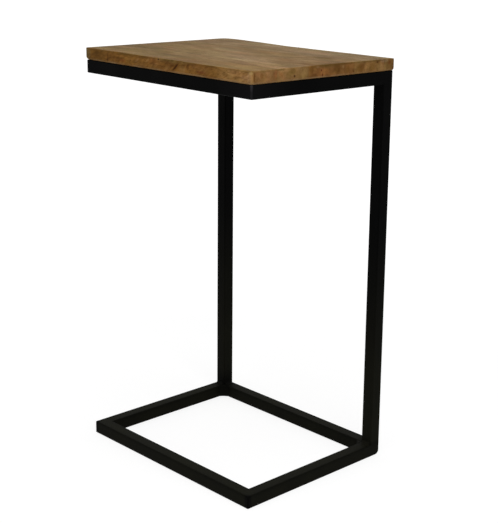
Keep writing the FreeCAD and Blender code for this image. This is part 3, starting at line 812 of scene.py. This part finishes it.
def corner_runs(height, back_leg, back_length):
    """Upright fillets in the four inner corners of the base or the top frame."""
    ends = ((-1, small_leg, tube_flat), (1, back_leg, back_length))
    return [((side * inner_x, end * inner_y, height), Z, -side * X, -end * Y, leg, length)
            for side in (-1, 1) for end, leg, length in ends]


def post_runs(height, up, leg):
    """Level fillets on the inner faces of both posts, at the foot or the head."""
    runs = []
    for side in (-1, 1):
        runs.append(((side * post_x, inner_y, height), X, -Y, up * Z, leg, tube_flat))
        runs.append(((side * inner_x, post_y, height), Y, -side * X, up * Z, leg, tube_flat))
    return runs


def tab_runs():
    """A fillet under each mounting tab, where it meets its rail."""
    height = frame_top - tab_thickness
    edges = [((side * tab_x, end * inner_y, height), X, -end * Y)
             for side in (-1, 1) for end in (-1, 1)]
    edges += [((side * inner_x, 0, height), Y, -side * X) for side in (-1, 1)]
    return [(place, run, reach, -Z, small_leg, tab_bead_length) for place, run, reach in edges]


bead_group("base_corner_beads", corner_runs(tube / 2, 11.8, 21.6))
bead_group("top_corner_beads", corner_runs(frame_top - tube / 2, small_leg, tube_flat))
bead_group("post_foot_beads", post_runs(tube, 1, 4.5))
bead_group("post_head_beads", post_runs(frame_top - tube, -1, small_leg))
bead_group("tab_beads", tab_runs())


# ---------------------------------------------------------------- floor, light and world
def studio_floor():
    """Pale matt floor. To the eye its own light makes it white, all but the table's shadow."""
    material, tree = new_material("pale_studio_floor")
    seen = seen_by_eye(tree)
    matt = add_node(tree, "BsdfDiffuse", {"Color": colour("#E4E4E4")})
    shadow_side = add_node(tree, "BsdfDiffuse", {"Color": colour("#8E8E8E")})
    # the lamps fall off away from the table, and the floor's own light makes up for it
    away = add_node(tree, "NewGeometry", output="Position")
    away = add_node(tree, "VectorMath", {0: away}, "Value", operation="LENGTH")
    strength = add_node(tree, "MapRange", {
        "Value": away, "From Min": 0.7, "From Max": 2.2, "To Min": 0.80, "To Max": 1.0})
    glow = add_node(tree, "Emission", {"Color": (1, 1, 1, 1), "Strength": strength})
    bright = add_node(tree, "AddShader", {0: shadow_side, 1: glow})
    shader = add_node(tree, "MixShader", {0: seen, 1: matt, 2: bright})
    # open from below, so that the underside of the table can be looked at
    below = add_node(tree, "NewGeometry", output="Backfacing")
    clear = add_node(tree, "BsdfTransparent")
    shader = add_node(tree, "MixShader", {0: below, 1: shader, 2: clear})
    add_node(tree, "OutputMaterial", {"Surface": shader})
    return material


floor_mesh = bpy.data.meshes.new("studio_floor")
half_floor = 14.0                         # metres
floor_mesh.from_pydata(
    [(x * half_floor, y * half_floor, 0) for x, y in ((-1, -1), (1, -1), (1, 1), (-1, 1))],
    [], [(0, 1, 2, 3)])
floor_mesh.materials.append(studio_floor())
floor = bpy.data.objects.new("studio_floor", floor_mesh)
bpy.context.scene.collection.objects.link(floor)


def soft_lamp(name, place, aim, width, height, watts):
    """A softbox; its place, aim and size are in metres."""
    lamp = bpy.data.lights.new(name, "AREA")
    lamp.shape = "RECTANGLE"
    lamp.size, lamp.size_y = width, height
    lamp.energy = watts
    lamp_object = bpy.data.objects.new(name, lamp)
    lamp_object.location = place
    lamp_object.rotation_mode = "QUATERNION"
    lamp_object.rotation_quaternion = (Vector(aim) - Vector(place)).to_track_quat("-Z", "Y")
    lamp_object.visible_camera = False
    bpy.context.scene.collection.objects.link(lamp_object)


soft_lamp("overhead_softbox", (0.2, -0.1, 2.6), (0, 0, 0.4), 2.0, 2.0, 20)
soft_lamp("right_softbox", (1.9, -1.0, 1.6), (0, 0, 0.45), 1.2, 1.2, 24)
soft_lamp("front_softbox", (0.3, -2.6, 1.3), (0, 0, 0.45), 1.4, 1.2, 8)
soft_lamp("left_fill", (-2.7, -0.3, 1.3), (0, 0, 0.45), 1.6, 1.6, 7)
soft_lamp("back_fill", (-0.3, 2.7, 1.3), (0, 0, 0.45), 1.6, 1.6, 7)

world = bpy.data.worlds.new("white_studio")
bpy.context.scene.world = world
world.use_nodes = True
world.node_tree.nodes.clear()
seen = seen_by_eye(world.node_tree)
room = add_node(world.node_tree, "Background", {"Color": colour("#FFFFFF"), "Strength": 0.35})
white = add_node(world.node_tree, "Background", {"Color": (1, 1, 1, 1), "Strength": 1.0})
sky = add_node(world.node_tree, "MixShader", {0: seen, 1: room, 2: white})
add_node(world.node_tree, "OutputWorld", {"Surface": sky})

bpy.context.scene.view_settings.view_transform = "Standard"
